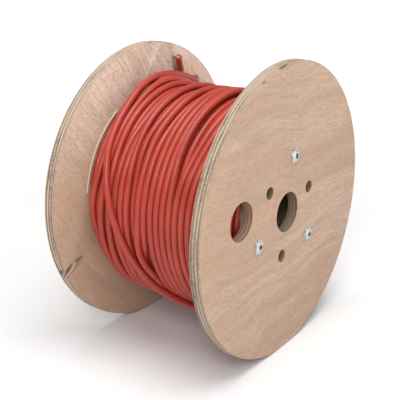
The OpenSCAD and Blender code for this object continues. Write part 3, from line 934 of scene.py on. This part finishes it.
for turn_deg in (0, 90):
    cut_away(bolt, recess_blade(turn_deg))
cut_away(bolt, cylinder("pilot", PILOT_R, (0, 0, HEAD_H - RECESS_DEEP), (0, 0, 1), 4 * MM, 20))
for face in bolt.data.polygons:
    r = math.hypot(face.center.x, face.center.y)
    crown = HEAD_H - CROWN_R + math.sqrt(max(CROWN_R ** 2 - r ** 2, 0))
    face.material_index = 1 if r < RECESS_L / 2 and 0.1 * MM < face.center.z < crown - 0.12 * MM else 0
print("recess faces:", sum(face.material_index for face in bolt.data.polygons))

# %% [markdown]
# ## The barrel, the fasteners and the cores
# The barrel's tube, the washers, the tee nuts and the cable's cores keep the design's own
# shapes and only need finishes. The three bolts get the model that was just turned.

# %% Barrel board, zinc, copper and the cores
def board_finish():
    board = Finish("barrel_board", IOR=1.4, Specular_IOR_Level=0.2)
    place = board.place()
    fibre = board.noise(place, 700, 3)
    cloud = board.noise(place, 20, 3)
    colour = board.mix(cloud.between(0.3, 0.7), (0.30, 0.20, 0.12), (0.38, 0.27, 0.17))
    colour = board.mix(fibre.between(0.55, 0.8) * 0.4, colour, (0.20, 0.13, 0.08))
    return board.finish(Base_Color=colour, Roughness=0.8 + fibre * 0.1,
                        Normal=board.bump(fibre, 0.3, 0.0002))


def zinc_finish():
    zinc = Finish("zinc_plate", Metallic=1.0)
    place = zinc.place()
    cloud = zinc.noise(place, 220, 3)
    scratch = zinc.noise(place, 1400, 3, 0.7)
    colour = zinc.mix(cloud.between(0.3, 0.7), (0.50, 0.52, 0.54), (0.68, 0.69, 0.70))
    colour = zinc.mix(scratch.between(0.6, 0.75) * 0.4, colour, (0.34, 0.33, 0.31))
    return zinc.finish(Base_Color=colour, Roughness=0.30 + cloud * 0.22,
                       Normal=zinc.bump(scratch, 0.15, 0.0001))


def plain_finish(name, low, high, rough, metallic=0.0):
    made = Finish(name, Metallic=metallic)
    cloud = made.noise(made.place(), 900, 3)
    colour = made.mix(cloud.between(0.3, 0.7), low, high)
    return made.finish(Base_Color=colour, Roughness=rough + cloud * 0.15,
                       Normal=made.bump(cloud, 0.2, 0.0001))


zinc = zinc_finish()
# the faces inside the cross recess get a dark finish: dirt and painted shade
dirt_and_shade = plain_finish("recess_dirt_and_shade", (0.070, 0.045, 0.028), (0.15, 0.10, 0.065), 0.75)
for k in (1, 2, 3):
    for kind in ("toothed_washer", "tee_nut"):
        dress(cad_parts[f"{kind}_{k}"], zinc)
    placed = bolt.copy()
    placed.data = bolt.data.copy()
    placed.name = f"pan_head_bolt_{k}"
    bpy.context.scene.collection.objects.link(placed)
    seat = around(BOLT_R, BOLT_ANGLES[k - 1], -OUTER_Y - WASHER_T)
    placed.matrix_world = (Matrix.Translation(seat) @ Matrix.Rotation(math.radians(90), 4, "X")
                           @ Matrix.Rotation(math.radians(10 + 25 * k), 4, "Z"))
    settle_transform(placed)
    bpy.ops.object.shade_smooth_by_angle(angle=math.radians(40))
    in_recess = [face.material_index for face in bolt.data.polygons]
    dress(placed, zinc)
    placed.data.materials.append(dirt_and_shade)
    placed.data.polygons.foreach_set("material_index", in_recess)
    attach(placed, "root")
    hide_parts(f"tie_bolt_{k}")
bpy.data.objects.remove(bolt)
dress(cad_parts["barrel_tube"], board_finish())
copper = plain_finish("bare_copper", (0.62, 0.26, 0.14), (0.80, 0.38, 0.22), 0.25, 1.0)
dress(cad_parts["conductor_dark"], copper)
dress(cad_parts["conductor_light"], copper)
dress(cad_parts["core_dark"], plain_finish("core_dark", (0.012, 0.012, 0.014), (0.03, 0.03, 0.032), 0.4))
dress(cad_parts["core_light"], plain_finish("core_light", (0.42, 0.41, 0.38), (0.52, 0.50, 0.47), 0.4))
dress(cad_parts["drain_wire"], plain_finish("tinned_wire", (0.5, 0.5, 0.5), (0.7, 0.7, 0.7), 0.3, 1.0))

# %% [markdown]
# ## The binding string
# A length of cotton string lies in the trough between the winding and the far flange. It
# is three strands laid together, so three thin tubes are swept round one middle line.

# %% Lay the string
STRING_D = 2.2 * MM
STRING_GAP = 0.4 * MM                     # from the winding, and from the flange
STRING_FROM, STRING_TO = 120, 172         # angles of its ends, in degrees
string_r = layer_radius(FULL_LAYERS) + CABLE_D / 2 + STRING_D / 2 + STRING_GAP
string_y = INNER_Y - STRING_D / 2 - STRING_GAP
string_deg = np.linspace(STRING_FROM, STRING_TO, 90)
string_path = wound_points(np.full(90, string_y), np.full(90, string_r), string_deg)
STRAND_R = 0.27 * STRING_D                # radius of one of the three strands
LAY_R = STRING_D / 2 - STRAND_R           # a strand's middle from the string's middle
STRAND_TURN = 9 * MM                      # length in which a strand goes once round
strand_deg = np.linspace(STRING_FROM, STRING_TO, 300)
strand_phase = np.radians(strand_deg - STRING_FROM) * string_r / STRAND_TURN * 2 * math.pi
strands = []
for k in range(3):
    phase = strand_phase + k * 2 * math.pi / 3
    strand_path = wound_points(string_y + LAY_R * np.sin(phase), string_r + LAY_R * np.cos(phase),
                               strand_deg)
    strands.append(sweep(f"strand_{k}", strand_path, STRAND_R, 8, strand_path[0] * (1, 0, 1))[0])
only(strands[0])
for strand in strands:
    strand.select_set(True)
bpy.ops.object.join()
binding_string = strands[0]
binding_string.name = "binding_string_cord"
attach(binding_string, "root")
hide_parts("binding_string")


def string_finish():
    cotton = Finish("cotton_string", IOR=1.4, Sheen_Weight=0.2)
    along, around_it, _ = cotton.parts(cotton.node("TexCoord", output="UV"))
    fibre = cotton.noise(cotton.join(along * 900, around_it * 10 + along * 700), 1.0, 3)
    soil = cotton.noise(cotton.place(), 90, 2)
    colour = cotton.mix(fibre.between(0.35, 0.7), (0.50, 0.41, 0.28), (0.72, 0.63, 0.48))
    colour = cotton.mix(soil.between(0.5, 0.8) * 0.4, colour, (0.38, 0.28, 0.18))
    return cotton.finish(Base_Color=colour, Roughness=0.85 + fibre * 0.1,
                         Normal=cotton.bump(fibre, 0.5, 0.0002))


dress(binding_string, string_finish())

# %% [markdown]
# ## Floor and light
# The drum stands on its two rims on a pale floor, which glows white away from the drum. One
# large soft lamp overhead, two weaker ones at the sides and a dim even surround give the
# open shadows of a catalogue view.

# %% Floor, surround and lamps
bpy.ops.mesh.primitive_plane_add(size=30, location=(0, 0, -RIM_R))
floor = bpy.context.object
floor.name = "floor"
floor_finish = Finish("pale_floor", Specular_IOR_Level=0.1, Emission_Strength=1.0)
floor_cloud = floor_finish.noise(floor_finish.place(), 3, 3)
floor_x, floor_y, _ = floor_finish.parts(floor_finish.place())
away = (floor_x * floor_x + floor_y * floor_y).root()
glow = floor_finish.mix(away.between(0.3, 1.8), (0.0, 0.0, 0.0), (0.75, 0.75, 0.75))
pale = floor_finish.mix(floor_cloud, (0.80, 0.80, 0.80), (0.82, 0.82, 0.82))
dress(floor, floor_finish.finish(Base_Color=pale, Roughness=0.8 + floor_cloud * 0.05, Emission_Color=glow))

world = bpy.data.worlds.new("surround")
bpy.context.scene.world = world
world.use_nodes = True
world.node_tree.nodes["Background"].inputs["Color"].default_value = (1, 1, 1, 1)
world.node_tree.nodes["Background"].inputs["Strength"].default_value = 0.38


def lamp(name, at, power, size):
    """A square soft lamp that points at the drum."""
    data = bpy.data.lights.new(name, "AREA")
    data.energy = power
    data.size = size
    made = bpy.data.objects.new(name, data)
    made.location = at
    made.rotation_euler = (-Vector(at)).to_track_quat("-Z", "Y").to_euler()
    bpy.context.scene.collection.objects.link(made)


lamp("top", (-0.2, -0.3, 2.0), 43, 1.6)
lamp("key", (-1.5, -0.8, 1.1), 16, 0.7)
lamp("fill", (0.9, -1.8, 0.6), 7, 1.2)
bpy.context.scene.view_settings.view_transform = "Standard"
